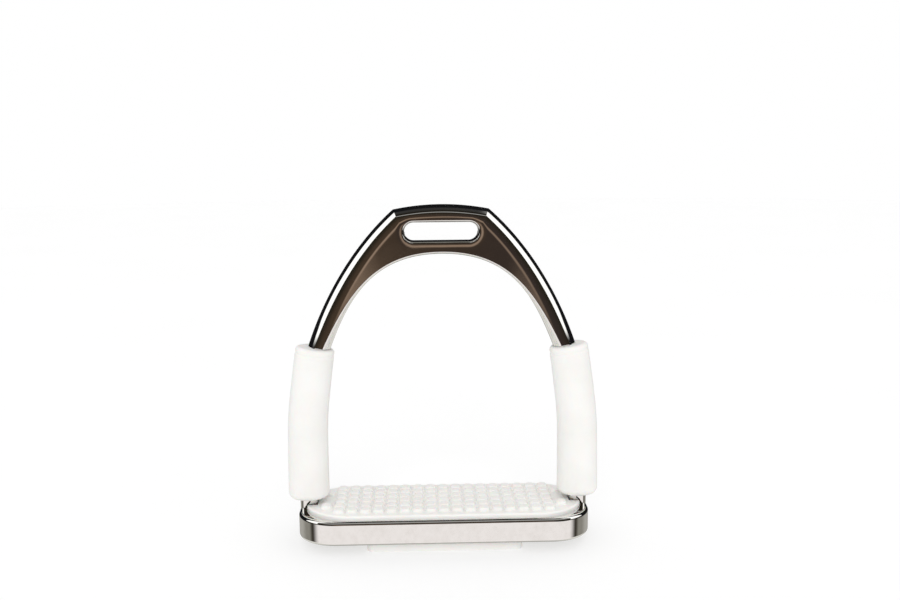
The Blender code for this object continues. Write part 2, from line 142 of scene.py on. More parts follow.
# Rounded edges of the tread, and the form of a stud. A row of the stud's profile holds what
# is added to its half width and half depth, and its height, in mm; None is below the pad.
TRAY_EDGE = 1.6 * MM
LIP_EDGE = 0.3 * MM
PAD_EDGE = 0.9 * MM
LUG_EDGE = 0.5 * MM
STUD_PROFILE = ((0.25, 0.35, None), (0.25, 0.35, 0), (0, 0.3, 0.2), (-0.35, 0.15, 1.05),
                (-0.5, 0.05, 1.3), (-0.75, -0.15, 1.45), (-1.1, -0.5, 1.5))
STUD_SIDES = 24
STUD_SQUARENESS = 3.2             # 2 is round, more is squarer

# Sleeves, as in the CAD, each in two halves that meet where the link is rigid.
SLEEVE_BOTTOM_Z = 21.2 * MM
SLEEVE_MIDDLE_Z = 51.5 * MM
SLEEVE_TOP_Z = 93 * MM
SLEEVE_BEND_Z = 60 * MM
SLEEVE_BEND_SPAN = 9 * MM
SLEEVE_LEAN = 0.142               # how far the head leans in for each unit of height
SLEEVE_FOOT_RADIUS = 9.6 * MM
SLEEVE_HEAD_RADIUS = 9.1 * MM
SLEEVE_FOOT_ROUND = 2.6 * MM
SLEEVE_HEAD_ROUND = 1.8 * MM
SLEEVE_WALL = 1.8 * MM
SLEEVE_BORE_TOP_Z = 84 * MM
SLEEVE_MOUTH_RADIUS = 6.4 * MM    # the open foot, round the post
SLEEVE_MOUTH_TOP_Z = 24.2 * MM
SLEEVE_SEAM = 0.01 * MM           # between the halves, so that they never cross
SLEEVE_GROOVE_Z = 90 * MM         # a shallow moulded ring under the head
SLEEVE_GROOVE_DEPTH = 0.3 * MM
SLEEVE_GROOVE_WIDTH = 0.45 * MM
SLEEVE_STEP = 0.4 * MM
SLEEVE_SIDES = 72
LEG_CLEARANCE = 0.12 * MM

CAMERA_PLACE = Vector((-10.4, -480, 187)) * MM
CAMERA_PITCH = math.radians(8.6)
CAMERA_YAW = math.radians(-1.7)
CAMERA_ROLL = math.radians(0.5)
CAMERA_LENS = 41.9
FLOOR_RADIUS = 3.0

# Colours of the room that the polished steel mirrors.
PANEL = (1.3, 1.3, 1.28)
TABLE = (0.95, 0.91, 0.90)
FLOOR_MIDDLE = (0.42, 0.42, 0.39)
FLOOR_SIDES = (0.78, 0.77, 0.73)
WARM_BROWN = (0.060, 0.040, 0.026)
COOL_BROWN = (0.038, 0.028, 0.024)
LOW_BROWN = (0.020, 0.014, 0.010)
STREAK = (0.31, 0.22, 0.16)
STREAK_CENTRE = (0.03, -1.0, -0.09)
FRONT_EDGE = (0.022, 0.018, 0.012)
BLACK_WALL = (0.008, 0.008, 0.009)
BACK_WALL = (0.40, 0.40, 0.38)
LOW_FRONT = (0.10, 0.09, 0.075)
LOW_SIDE = (0.27, 0.26, 0.23)
LOW_BACK = (0.42, 0.41, 0.38)
SOFT_LIGHT = (0.89, 0.89, 0.89)
BACKDROP = (1.0, 1.0, 1.0)


# ---------------------------------------------------------------- mesh helpers

def new_object(name, mesh):
    made = bpy.data.objects.new(name, mesh)
    bpy.context.scene.collection.objects.link(made)
    return made


def mesh_from(name, verts, faces, merge=0.001 * MM):
    """A clean mesh whose doubled points are welded and whose faces point out."""
    mesh = bpy.data.meshes.new(name)
    mesh.from_pydata(verts, [], faces)
    build = bmesh.new()
    build.from_mesh(mesh)
    bmesh.ops.remove_doubles(build, verts=build.verts, dist=merge)
    bmesh.ops.dissolve_degenerate(build, edges=build.edges, dist=merge)
    bmesh.ops.recalc_face_normals(build, faces=build.faces)
    build.to_mesh(mesh)
    build.free()
    return mesh


def ring_faces(rings, count, closed):
    """Quads between consecutive rings of count points; closed joins the last to the first."""
    faces = []
    pairs = [(k, k + 1) for k in range(rings - 1)]
    if closed:
        pairs.append((rings - 1, 0))
    for low, high in pairs:
        for k in range(count):
            after = (k + 1) % count
            faces.append((low * count + k, low * count + after,
                          high * count + after, high * count + k))
    return faces


def cap_faces(rings, count):
    last = (rings - 1) * count
    return [tuple(range(count))[::-1], tuple(range(last, last + count))]


def combine(part, helper, operation):
    """Joins helper to part, or cuts it away, and removes helper."""
    change = part.modifiers.new(operation.lower(), "BOOLEAN")
    change.operation = operation
    change.object = helper
    change.solver = "MANIFOLD"
    graph = bpy.context.evaluated_depsgraph_get()
    mesh = bpy.data.meshes.new_from_object(part.evaluated_get(graph))
    part.modifiers.clear()
    part.data = mesh
    bpy.data.objects.remove(helper)


def finish_surface(part, sharp_degrees=32):
    part.data.shade_smooth()
    part.data.set_sharp_from_angle(angle=math.radians(sharp_degrees))
    weighted = part.modifiers.new("weighted normals", "WEIGHTED_NORMAL")
    weighted.keep_sharp = True


def rounded_rectangle(size, offset=0.0, steps=20):
    """Outline of a (length, depth, corner) rectangle, grown by offset, as (x, y) points."""
    length, depth, corner = size[0] + 2 * offset, size[1] + 2 * offset, size[2] + offset
    outline = []
    for quarter in range(4):
        side_x = 1 if quarter in (0, 1) else -1
        side_y = 1 if quarter in (1, 2) else -1
        for step in range(steps + 1):
            angle = (quarter - 1 + step / steps) * math.pi / 2
            outline.append((side_x * (length / 2 - corner) + corner * math.cos(angle),
                            side_y * (depth / 2 - corner) + corner * math.sin(angle)))
    return outline


def box_object(low, high, edge):
    """A box with softly rounded edges."""
    build = bmesh.new()
    size = Vector(high) - Vector(low)
    middle = (Vector(high) + Vector(low)) / 2
    bmesh.ops.create_cube(build, size=1, matrix=Matrix.LocRotScale(middle, None, size))
    if edge:
        bmesh.ops.bevel(build, geom=build.edges[:], offset=edge, segments=6, profile=0.5,
                        affect="EDGES", clamp_overlap=False)
    mesh = bpy.data.meshes.new("box")
    build.to_mesh(mesh)
    build.free()
    return new_object("box", mesh)


def x_cylinder(x, half_length, radius, z):
    build = bmesh.new()
    placed = Matrix.Translation((x, 0, z)) @ Matrix.Rotation(math.pi / 2, 4, "Y")
    bmesh.ops.create_cone(build, cap_ends=True, segments=64, radius1=radius, radius2=radius,
                          depth=2 * half_length, matrix=placed)
    mesh = bpy.data.meshes.new("cylinder")
    build.to_mesh(mesh)
    build.free()
    return new_object("cylinder", mesh)


def add_tongue(part, side, pin_z, root_z):
    """A flat tongue with a round end about the pin, bored for its bush."""
    away = 1 if root_z > pin_z else -1
    outline = [(TONGUE_RADIUS, root_z), (-TONGUE_RADIUS, root_z)]
    for step in range(TONGUE_END_STEPS + 1):
        angle = math.pi * step / TONGUE_END_STEPS
        outline.append((-TONGUE_RADIUS * math.cos(angle),
                        pin_z - away * TONGUE_RADIUS * math.sin(angle)))
    count = len(outline)
    verts = [(side * HINGE_X + half * TONGUE_THICKNESS / 2, y, z)
             for half in (-1, 1) for y, z in outline]
    faces = ring_faces(2, count, False) + cap_faces(2, count)
    combine(part, new_object("tongue", mesh_from("tongue", verts, faces)), "UNION")
    hole = x_cylinder(side * HINGE_X, TONGUE_THICKNESS, BUSH_HOLE_RADIUS, pin_z)
    combine(part, hole, "DIFFERENCE")


# ---------------------------------------------------------------- bow

def smooth(low, high, value):
    share = np.clip((value - low) / (high - low), 0, 1)
    return share * share * (3 - 2 * share)


def crown_height(x):
    """Height of the crown's arc at x."""
    return CROWN_Z - CROWN_RADIUS + np.sqrt(CROWN_RADIUS ** 2 - x ** 2)


def leg_curve(start, start_handle, foot, tilt, handle, steps=400):
    lean = Vector((-math.sin(tilt), math.cos(tilt)))
    points = interpolate_bezier(start, start + start_handle, foot + handle * lean, foot, steps)
    return np.array([tuple(point) for point in points])


def inner_curve():
    """The arch's right half, from its middle to the foot."""
    return leg_curve(Vector((0, ARCH_Z)), Vector((INNER_HANDLES[0], 0)),
                     Vector((LEG_INNER_X, SHOULDER_Z)), INNER_LEG_TILT, INNER_HANDLES[1])


def outer_curve():
    """The right leg's outer edge, from the crown's corner to the foot."""
    slope = Vector((math.cos(OUTER_TOP_SLOPE), -math.sin(OUTER_TOP_SLOPE)))
    return leg_curve(Vector((CORNER_X, float(crown_height(CORNER_X)))), OUTER_HANDLES[0] * slope,
                     Vector((LEG_OUTER_X, SHOULDER_Z)), OUTER_LEG_TILT, OUTER_HANDLES[1])


def along(curve, shares):
    """Points at these shares of a curve's length."""
    steps = np.linalg.norm(np.diff(curve, axis=0), axis=1)
    run = np.concatenate([[0], np.cumsum(steps)]) / steps.sum()
    return np.column_stack([np.interp(shares, run, curve[:, k]) for k in (0, 1)])


def distance_to(points, line):
    """Distance from each point to the nearest segment of a line."""
    start, run = line[:-1], np.diff(line, axis=0)
    gap = points[:, None, :] - start[None]
    share = np.clip((gap * run).sum(2) / (run * run).sum(1), 0, 1)
    return np.linalg.norm(gap - share[..., None] * run, axis=2).min(1)


def bow_guides():
    """Lines across the bow's right half, from its middle to its foot. Each row holds the
    outer point, the slot's upper and lower rim (or twice the leg's middle) and the arch."""
    half_height = SLOT_HEIGHT / 2
    centre_x = SLOT_WIDTH / 2 - half_height
    rim = [(centre_x * k / EYE_STEPS, half_height) for k in range(EYE_STEPS)]
    for k in range(EYE_END_STEPS + 1):
        turn = math.pi / 2 * k / EYE_END_STEPS
        rim.append((centre_x + half_height * math.sin(turn), half_height * math.cos(turn)))
    inner = inner_curve()
    guides = []
    for x, rise in rim:
        share = x / (SLOT_WIDTH / 2)
        outer_x, inner_x = CORNER_X * share, TIP_INNER_X * share
        inner_z = np.interp(inner_x, inner[:, 0], inner[:, 1])
        guides.append([(outer_x, crown_height(outer_x)), (x, SLOT_CENTRE_Z + rise),
                       (x, SLOT_CENTRE_Z - rise), (inner_x, inner_z)])
    shares = (np.arange(1, LEG_STEPS + 1) / LEG_STEPS) ** LEG_CROWDING
    outside = along(outer_curve(), shares)
    inside = along(inner[inner[:, 0] >= TIP_INNER_X - 0.01 * MM], shares)
    first = np.array(guides[-1])
    kink = first[1] - (first[0] * 0.5 + first[3] * 0.5)
    fade = 1 - smooth(0, KINK_FADE, shares)[:, None]
    middle = outside * 0.5 + inside * 0.5 + kink * fade
    for out_point, mid_point, in_point in zip(outside, middle, inside):
        guides.append([out_point, mid_point, mid_point, in_point])
    return np.array([[tuple(point) for point in row] for row in guides])


def spread(length, edge_stations, rim_stations, between):
    """Distances from an edge to the bow's middle line, close together near both."""
    edge = np.array(edge_stations) * min(1, EDGE_SHARE * length / edge_stations[-1])
    rim = np.array(rim_stations) * min(1, RIM_SHARE * length / rim_stations[-1])
    linear = np.linspace(edge[-1], length - rim[-1], between + 1)[1:-1]
    return np.concatenate([edge, linear, (length - rim)[::-1]])


def sheet_points(guides):
    """Two grids of (x, z) points: outer edge to middle, and middle to arch."""
    upper, lower = [], []
    for outer, high, low, inner in guides:
        for start, end, stations, grid in ((outer, high, OUTER_STATIONS, upper),
                                           (inner, low, INNER_STATIONS, lower)):
            length = np.linalg.norm(end - start)
            run = spread(length, stations, RIM_STATIONS, BETWEEN) / length
            grid.append(start + run[:, None] * (end - start))
    return np.array(upper), np.array(lower)


def edge_drop(distance, profile):
    """How far the face lies under its highest level, at a distance from a shaped edge."""
    places, slopes = np.array(profile, dtype=float).T
    run = np.linspace(0, places[-1], PROFILE_STEPS)
    fall = np.tan(np.radians(np.interp(run, places, slopes)))
    under = np.concatenate([[0], np.cumsum((fall[1:] + fall[:-1]) / 2 * np.diff(run))])
    return np.interp(distance, run * MM, (under[-1] - under) * MM)


def slot_outline():
    """The slot's rim as a closed line."""
    half_height = SLOT_HEIGHT / 2
    turns = np.linspace(0, 2 * math.pi, 160, endpoint=False)
    x = half_height * np.cos(turns) + np.sign(np.cos(turns)) * (SLOT_WIDTH / 2 - half_height)
    rim = np.column_stack([x, SLOT_CENTRE_Z + half_height * np.sin(turns)])
    return np.vstack([rim, rim[:1]])


def half_thickness(points):
    """The bow's relief: chamfered sides, a rounded arch and a slightly crowned face."""
    crown = np.column_stack([np.linspace(-CORNER_X, CORNER_X, 200)] * 2)
    crown[:, 1] = crown_height(crown[:, 0])
    inner = inner_curve()
    past_middle = (inner[:40] * (-1, 1))[::-1]
    to_outer = distance_to(points, np.vstack([crown, outer_curve()[1:]]))
    to_inner = distance_to(points, np.vstack([past_middle, inner[1:]]))
    height = points[:, 1]
    low = smooth(*FOOT_PROFILE_BELOW, height)
    side = (1 - low) * edge_drop(to_outer, CROWN_OUTER) + low * edge_drop(to_outer, FOOT_OUTER)
    start, end = ARCH_WIDER_BELOW
    down_the_leg = np.clip((start - height) / (start - end), 0, 1)
    wider = 1 + ARCH_WIDENING * down_the_leg ** ARCH_WIDENING_POWER
    arch = wider * edge_drop(to_inner / wider, ARCH_EDGE)
    return BOW_HALF - side - arch - edge_drop(distance_to(points, slot_outline()), SLOT_RIM)


def half_bow():
    """The bow's right half: front and back sheets and the walls that join them."""
    verts, faces = [], []
    for number, grid in enumerate(sheet_points(bow_guides())):
        rows, columns = grid.shape[:2]
        flat = grid.reshape(-1, 2)
        depth = half_thickness(flat).reshape(rows, columns)
        if number == 0:
            depth[:, 0] = 0
        for direction in (-1, 1):
            first = len(verts)
            verts += [(x, direction * y, z) for (x, z), y in zip(flat, depth.ravel())]
            for r in range(rows - 1):
                for c in range(columns - 1):
                    k = first + r * columns + c
                    faces.append((k, k + 1, k + columns + 1, k + columns))
        back, front = len(verts) - rows * columns, len(verts) - 2 * rows * columns
        walls = [(columns - 1, EYE_STEPS + EYE_END_STEPS)]
        if number == 1:
            walls.append((0, rows - 1))
        for c, last in walls:
            for r in range(last):
                k = r * columns + c
                faces.append((front + k, front + k + columns, back + k + columns, back + k))
        foot = (rows - 1) * columns
        for c in range(columns - 1):
            k = foot + c
            faces.append((front + k, front + k + 1, back + k + 1, back + k))
    return verts, faces


def bow_mesh():
    verts, faces = half_bow()
    count = len(verts)
    verts += [(-x, y, z) for x, y, z in verts]
    faces += [tuple(count + k for k in reversed(face)) for face in faces]
    return mesh_from("polished_bow", verts, faces)


def make_bow(mesh):
    bow = new_object("polished_bow", mesh)
    for side in SIDES.values():
        add_tongue(bow, side, UPPER_PIN_Z, SHOULDER_Z + EMBED)
    finish_surface(bow)
    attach(bow, "bow")
    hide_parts("bow")
    return bow


# ---------------------------------------------------------------- tread

def quarter(steps):
    """Shares (in, up) of a quarter-round edge, from its side to its face."""
    turns = [math.pi / 2 * k / steps for k in range(steps + 1)]
    return [(1 - math.cos(turn), math.sin(turn)) for turn in turns]


def stacked(name, rings, closed=False):
    """A solid through horizontal outlines, given as (outline, z) rings of equal count."""
    count = len(rings[0][0])
    verts = [(x, y, z) for outline, z in rings for x, y in outline]
    faces = ring_faces(len(rings), count, closed)
    if not closed:
        faces += cap_faces(len(rings), count)
    return new_object(name, mesh_from(name, verts, faces))


def tray_rings():
    """Horizontal outlines round the tray's section: the underside, the outer wall, the rim,
    and down inside to the floor and its opening for the pad's lug."""
    opening = rounded_rectangle(LUG, OPENING_CLEARANCE)
    rings = [(opening, TRAY_BOTTOM)]
    for inward, up in reversed(quarter(6)):
        rings.append((rounded_rectangle(TRAY, -TRAY_EDGE * inward),
                      TRAY_BOTTOM + TRAY_EDGE * (1 - up)))
    middle = (TRAY_BOTTOM + TRAY_TOP) / 2
    rings.append((rounded_rectangle(TRAY), middle))
    for inward, up in quarter(8):
        rings.append((rounded_rectangle(TRAY, -TRAY_EDGE * inward),
                      TRAY_TOP - TRAY_EDGE * (1 - up)))
    for inward, up in reversed(quarter(4)):
        rings.append((rounded_rectangle(PAD, GAP + LIP_EDGE * inward),
                      TRAY_TOP - LIP_EDGE * (1 - up)))
    rings.append((rounded_rectangle(PAD, GAP), TRAY_FLOOR_TOP))
    rings.append((opening, TRAY_FLOOR_TOP))
    return rings


def make_tray():
    tray = stacked("polished_tray", tray_rings(), closed=True)
    half = POST_THICKNESS / 2
    for side in SIDES.values():
        low = (side * HINGE_X - half, -POST_DEPTH / 2, TRAY_BOTTOM + EMBED)
        high = (side * HINGE_X + half, POST_DEPTH / 2, POST_TOP)
        combine(tray, box_object(low, high, POST_EDGE), "UNION")
        add_tongue(tray, side, LOWER_PIN_Z, POST_TOP - EMBED)
    finish_surface(tray)
    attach(tray, "tread")
    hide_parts("tread_frame")
    return tray


def stud_places():
    """Centres of the grip studs: a square grid inside the pad's rounded ends."""
    end_centre = Vector((PAD[0] / 2 - PAD[2], PAD[1] / 2 - PAD[2]))
    places = []
    for column in range(STUD_COLUMNS):
        for row in range(STUD_ROWS):
            x = (column - (STUD_COLUMNS - 1) / 2) * STUD_PITCH
            y = (row - (STUD_ROWS - 1) / 2) * STUD_PITCH
            reach = Vector((max(abs(x) - end_centre.x, 0), max(abs(y) - end_centre.y, 0)))
            under_sleeve = abs(x) > SLEEVE_FREE_LENGTH and abs(y) < STUD_PITCH
            if reach.length < PAD[2] - STUD_MARGIN and not under_sleeve:
                places.append((x, y))
    return places


def stud_ring(half_width, half_depth):
    """A rounded square or oblong about the origin, as (x, y) points."""
    ring = []
    for k in range(STUD_SIDES):
        turn = 2 * math.pi * k / STUD_SIDES
        across, deep = math.cos(turn), math.sin(turn)
        size = abs(across) ** STUD_SQUARENESS + abs(deep) ** STUD_SQUARENESS
        size **= 1 / STUD_SQUARENESS
        ring.append((half_width * across / size, half_depth * deep / size))
    return ring


def studs_object():
    """Low rounded blocks with sloping sides, a little longer than wide, all in one mesh."""
    rows = len(STUD_PROFILE)
    stud_faces = ring_faces(rows, STUD_SIDES, False) + cap_faces(rows, STUD_SIDES)
    verts, faces = [], []
    for x, y in stud_places():
        first = len(verts)
        for width_growth, depth_growth, height in STUD_PROFILE:
            z = PAD_TOP - EMBED if height is None else PAD_TOP + height * MM
            ring = stud_ring(STUD_RADIUS + width_growth * MM, STUD_RADIUS + depth_growth * MM)
            verts += [(x + across, y + deep, z) for across, deep in ring]
        faces += [tuple(first + k for k in face) for face in stud_faces]
    return new_object("studs", mesh_from("studs", verts, faces))


def make_pad():
    bottom = TRAY_FLOOR_TOP + GAP
    rings = [(rounded_rectangle(PAD), bottom)]
    for inward, up in quarter(6):
        rings.append((rounded_rectangle(PAD, -PAD_EDGE * inward), PAD_TOP - PAD_EDGE * (1 - up)))
    pad = stacked("studded_pad", rings)
    rings = []
    for inward, up in reversed(quarter(4)):
        rings.append((rounded_rectangle(LUG, -LUG_EDGE * inward), LUG_EDGE * (1 - up)))
    rings.append((rounded_rectangle(LUG), bottom + EMBED))
    combine(pad, stacked("lug", rings), "UNION")
    for side in SIDES.values():
        edges = sorted((side * (HINGE_X - POST_THICKNESS / 2 - OPENING_CLEARANCE), side * TRAY[0]))
        half = POST_DEPTH / 2 + OPENING_CLEARANCE
        notch = box_object((edges[0], -half, 0), (edges[1], half, 2 * PAD_TOP), 0)
        combine(pad, notch, "DIFFERENCE")
    combine(pad, studs_object(), "UNION")
    finish_surface(pad, 40)
    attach(pad, "tread")
    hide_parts("tread_pad")
    return pad


# ---------------------------------------------------------------- sleeves

def sleeve_x(z):
    """Sleeve centre at height z: upright, then a soft bend into a straight lean."""
    above = z - SLEEVE_BEND_Z
    return HINGE_X - SLEEVE_LEAN * (above + math.hypot(above, SLEEVE_BEND_SPAN)) / 2


def sleeve_radius(z):
    share = (z - SLEEVE_BOTTOM_Z) / (SLEEVE_TOP_Z - SLEEVE_BOTTOM_Z)
    taper = SLEEVE_FOOT_RADIUS + share * (SLEEVE_HEAD_RADIUS - SLEEVE_FOOT_RADIUS)
    groove = math.exp(-((z - SLEEVE_GROOVE_Z) / SLEEVE_GROOVE_WIDTH) ** 2)
    return taper - SLEEVE_GROOVE_DEPTH * groove


def outer_stations(low, high):
    """(z, radius) along the outside between two heights, with rounded shoulders."""
    stations = []
    if low == SLEEVE_BOTTOM_Z:
        for inward, up in reversed(quarter(8)):
            z = low + SLEEVE_FOOT_ROUND * (1 - up)
            stations.append((z, sleeve_radius(z) - SLEEVE_FOOT_ROUND * inward))
        low += SLEEVE_FOOT_ROUND + SLEEVE_STEP
    top = []
    if high == SLEEVE_TOP_Z:
        for inward, up in quarter(8):
            z = high - SLEEVE_HEAD_ROUND * (1 - up)
            top.append((z, sleeve_radius(z) - SLEEVE_HEAD_ROUND * inward))
        high -= SLEEVE_HEAD_ROUND + SLEEVE_STEP / 2
    count = round((high - low) / SLEEVE_STEP)
    for k in range(count + 1):
        z = low + (high - low) * k / count
        stations.append((z, sleeve_radius(z)))
    return stations + top


def bore_stations(low, high):
    count = round((high - low) / SLEEVE_STEP)
    heights = [low + (high - low) * k / count for k in range(count + 1)]
    return [(z, sleeve_radius(z) - SLEEVE_WALL) for z in heights]


def sleeve_rings(side, stations):
    """Rings round the sleeve's curved axis, each square to it."""
    verts = []
    for z, radius in stations:
        rise = 2 * SLEEVE_STEP
        lean = math.atan2(sleeve_x(z - rise) - sleeve_x(z + rise), 2 * rise)
        for k in range(SLEEVE_SIDES):
            turn = 2 * math.pi * k / SLEEVE_SIDES
            out, deep = radius * math.cos(turn), radius * math.sin(turn)
            verts.append((side * (sleeve_x(z) + out * math.cos(lean)), deep,
                          z + out * math.sin(lean)))
    return verts


def leg_channel(mesh, side):
    """The bow's leg, a little enlarged, to cut its way into the sleeve's head."""
    build = bmesh.new()
    build.from_mesh(mesh)
    for place, normal in (((0, 0, SLEEVE_TOP_Z + 12 * MM), (0, 0, 1)), ((0, 0, 0), (-side, 0, 0))):
        geometry = build.verts[:] + build.edges[:] + build.faces[:]
        bmesh.ops.bisect_plane(build, geom=geometry, plane_co=place, plane_no=normal,
                               clear_outer=True)
    rim = [edge for edge in build.edges if edge.is_boundary]
    bmesh.ops.contextual_create(build, geom=rim)
    bmesh.ops.recalc_face_normals(build, faces=build.faces)
    build.normal_update()
    for vert in build.verts:
        vert.co += vert.normal * LEG_CLEARANCE
    channel = bpy.data.meshes.new("leg_channel")
    build.to_mesh(channel)
    build.free()
    return new_object("leg_channel", channel)


def make_lower_sleeve(label, side):
    stations = outer_stations(SLEEVE_BOTTOM_Z, SLEEVE_MIDDLE_Z)
    stations += bore_stations(SLEEVE_MOUTH_TOP_Z + EMBED, SLEEVE_MIDDLE_Z)[::-1]
    stations += [(SLEEVE_MOUTH_TOP_Z, SLEEVE_MOUTH_RADIUS), (SLEEVE_BOTTOM_Z, SLEEVE_MOUTH_RADIUS)]
    name = f"{label}_lower_sleeve"
    verts = sleeve_rings(side, stations)
    faces = ring_faces(len(stations), SLEEVE_SIDES, True)
    sleeve = new_object(name, mesh_from(name, verts, faces))
    finish_surface(sleeve, 50)
    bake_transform(sleeve)
    return sleeve


def make_upper_sleeve(label, side, bow):
    """The half between link and bow, with a channel for the bow's leg cut into its head. Both
    links turn together about one axis, and the left one carries the bow in the joint tree."""
    bottom = SLEEVE_MIDDLE_Z + SLEEVE_SEAM
    stations = bore_stations(bottom, SLEEVE_BORE_TOP_Z)[::-1] + outer_stations(bottom, SLEEVE_TOP_Z)
    name = f"{label}_upper_sleeve"
    verts = sleeve_rings(side, stations)
    faces = ring_faces(len(stations), SLEEVE_SIDES, False) + cap_faces(len(stations), SLEEVE_SIDES)
    sleeve = new_object(name, mesh_from(name, verts, faces))
    combine(sleeve, leg_channel(bow, side), "DIFFERENCE")
    finish_surface(sleeve, 50)
    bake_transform(sleeve)
    return sleeve


# ---------------------------------------------------------------- node helpers

def node(tree, kind, inputs=None, **settings):
    """A node with its settings; inputs are values, or sockets to link."""
    made = tree.nodes.new(kind)
    for name, value in settings.items():
        setattr(made, name, value)
    for socket, value in (inputs or {}).items():
        if isinstance(value, bpy.types.NodeSocket):
            tree.links.new(value, made.inputs[socket])
        else:
            made.inputs[socket].default_value = value
    return made


def calc(tree, operation, *values):
    made = node(tree, "ShaderNodeMath", dict(enumerate(values)), operation=operation)
    return made.outputs[0]


def step(tree, value, low, high, out_low=0.0, out_high=1.0):
    """A smooth change from out_low to out_high as value goes from low to high."""
    made = node(tree, "ShaderNodeMapRange",
                {"Value": value, "From Min": low, "From Max": high, "To Min": out_low,
                 "To Max": out_high}, interpolation_type="SMOOTHSTEP")
    return made.outputs["Result"]


def fade(tree, value, low, high):
    """1 up to low, then a smooth change to 0 at high."""
    return step(tree, value, low, high, 1.0, 0.0)


def blend_colour(tree, share, first, second):
    made = node(tree, "ShaderNodeMix", {"Factor": share}, data_type="RGBA")
    for socket, colour in ((made.inputs[6], first), (made.inputs[7], second)):
        if isinstance(colour, bpy.types.NodeSocket):
            tree.links.new(colour, socket)
        else:
            socket.default_value = (*colour, 1)
    return made.outputs[2]


def noise(tree, place, scale, detail=3.0, roughness=0.5):
    made = node(tree, "ShaderNodeTexNoise",
                {"Vector": place, "Scale": scale, "Detail": detail, "Roughness": roughness})
    return made.outputs["Fac"]


def stretched(tree, place, scale, turn=(0, 0, 0)):
    made = node(tree, "ShaderNodeMapping", {"Vector": place, "Scale": scale, "Rotation": turn})
    return made.outputs["Vector"]


def bump(tree, height, distance, below=None):
    inputs = {"Height": height, "Distance": distance, "Strength": 1.0}
    if below is not None:
        inputs["Normal"] = below
    return node(tree, "ShaderNodeBump", inputs).outputs["Normal"]


def new_material(name):
    """A material with its node tree, its Principled shader and object coordinates."""
    material = bpy.data.materials.new(name)
    material.use_nodes = True
    tree = material.node_tree
    place = node(tree, "ShaderNodeTexCoord").outputs["Object"]
    return material, tree, tree.nodes["Principled BSDF"], place


def connect(tree, shader, **sockets):
    for name, value in sockets.items():
        socket = shader.inputs[name.replace("_", " ")]
        if isinstance(value, bpy.types.NodeSocket):
            tree.links.new(value, socket)
        else:
            socket.default_value = value


# ---------------------------------------------------------------- materials

def mirror_steel():
    """Mirror-polished stainless steel: hairline scratches, faint haze and hand marks."""
    material, tree, shader, place = new_material("mirror_steel")
    haze = noise(tree, place, 55, 4)
    marks = noise(tree, place, 260, 5, 0.6)
    hairs = noise(tree, stretched(tree, place, (900, 900, 9000), (0.3, 0.2, 0)), 1, 2)
    hairs_across = noise(tree, stretched(tree, place, (8000, 700, 1100), (0, 0.5, 0.4)), 1, 2)
    scratched = calc(tree, "MULTIPLY", step(tree, hairs, 0.62, 0.75), step(tree, haze, 0.4, 0.7))
    rough = step(tree, haze, 0.35, 0.75, 0.035, 0.075)
    rough = calc(tree, "ADD", rough, step(tree, marks, 0.55, 0.8, 0.0, 0.05))
    rough = calc(tree, "ADD", rough, calc(tree, "MULTIPLY", scratched, 0.06))
    waves = bump(tree, noise(tree, place, 90, 1), 0.00002)
    fine = bump(tree, calc(tree, "ADD", hairs, hairs_across), 0.0000004, waves)
    colour = blend_colour(tree, step(tree, marks, 0.3, 0.8), (0.86, 0.85, 0.83), (0.80, 0.785, 0.76))
    connect(tree, shader, Base_Color=colour, Metallic=1.0, Roughness=rough, Normal=fine)
    return material


def white_rubber():
    """Matt white moulded rubber: a fine grain, faint clouding and slightly soiled hollows."""
    material, tree, shader, place = new_material("white_rubber")
    cloud = noise(tree, place, 70, 4)
    grain = noise(tree, place, 2600, 3, 0.6)
    pits = noise(tree, place, 900, 2)
    colour = blend_colour(tree, step(tree, cloud, 0.3, 0.75),
                          (0.905, 0.895, 0.87), (0.875, 0.862, 0.832))
    colour = blend_colour(tree, step(tree, pits, 0.68, 0.8, 0, 0.25), colour, (0.80, 0.78, 0.74))
    rough = step(tree, grain, 0.3, 0.7, 0.48, 0.62)
    surface = bump(tree, grain, 0.000025)
    surface = bump(tree, cloud, 0.00006, surface)
    connect(tree, shader, Base_Color=colour, Roughness=rough, Normal=surface,
            Subsurface_Weight=0.12, Subsurface_Scale=0.002)
    return material


def link_steel():
    """Plain stainless steel with a brushed grain along the links."""
    material, tree, shader, place = new_material("link_steel")
    grain = noise(tree, stretched(tree, place, (7000, 7000, 350)), 1, 3)
    haze = noise(tree, place, 300, 3)
    colour = blend_colour(tree, grain, (0.50, 0.50, 0.49), (0.66, 0.65, 0.63))
    rough = step(tree, haze, 0.3, 0.7, 0.26, 0.40)
    connect(tree, shader, Base_Color=colour, Metallic=1.0, Roughness=rough,
            Normal=bump(tree, grain, 0.000003))
    return material


def bearing_bronze():
    """Sintered bronze: small dark pores in a warm, slightly uneven metal."""
    material, tree, shader, place = new_material("bearing_bronze")
    pores = node(tree, "ShaderNodeTexVoronoi", {"Vector": place, "Scale": 5000}).outputs["Distance"]
    tint = noise(tree, place, 500, 3)
    colour = blend_colour(tree, tint, (0.60, 0.42, 0.20), (0.50, 0.33, 0.16))
    colour = blend_colour(tree, step(tree, pores, 0.12, 0.22, 0.8, 0.0), colour, (0.12, 0.08, 0.05))
    rough = step(tree, tint, 0.3, 0.7, 0.32, 0.48)
    connect(tree, shader, Base_Color=colour, Metallic=1.0, Roughness=rough,
            Normal=bump(tree, step(tree, pores, 0.1, 0.3), 0.00001))
    return material


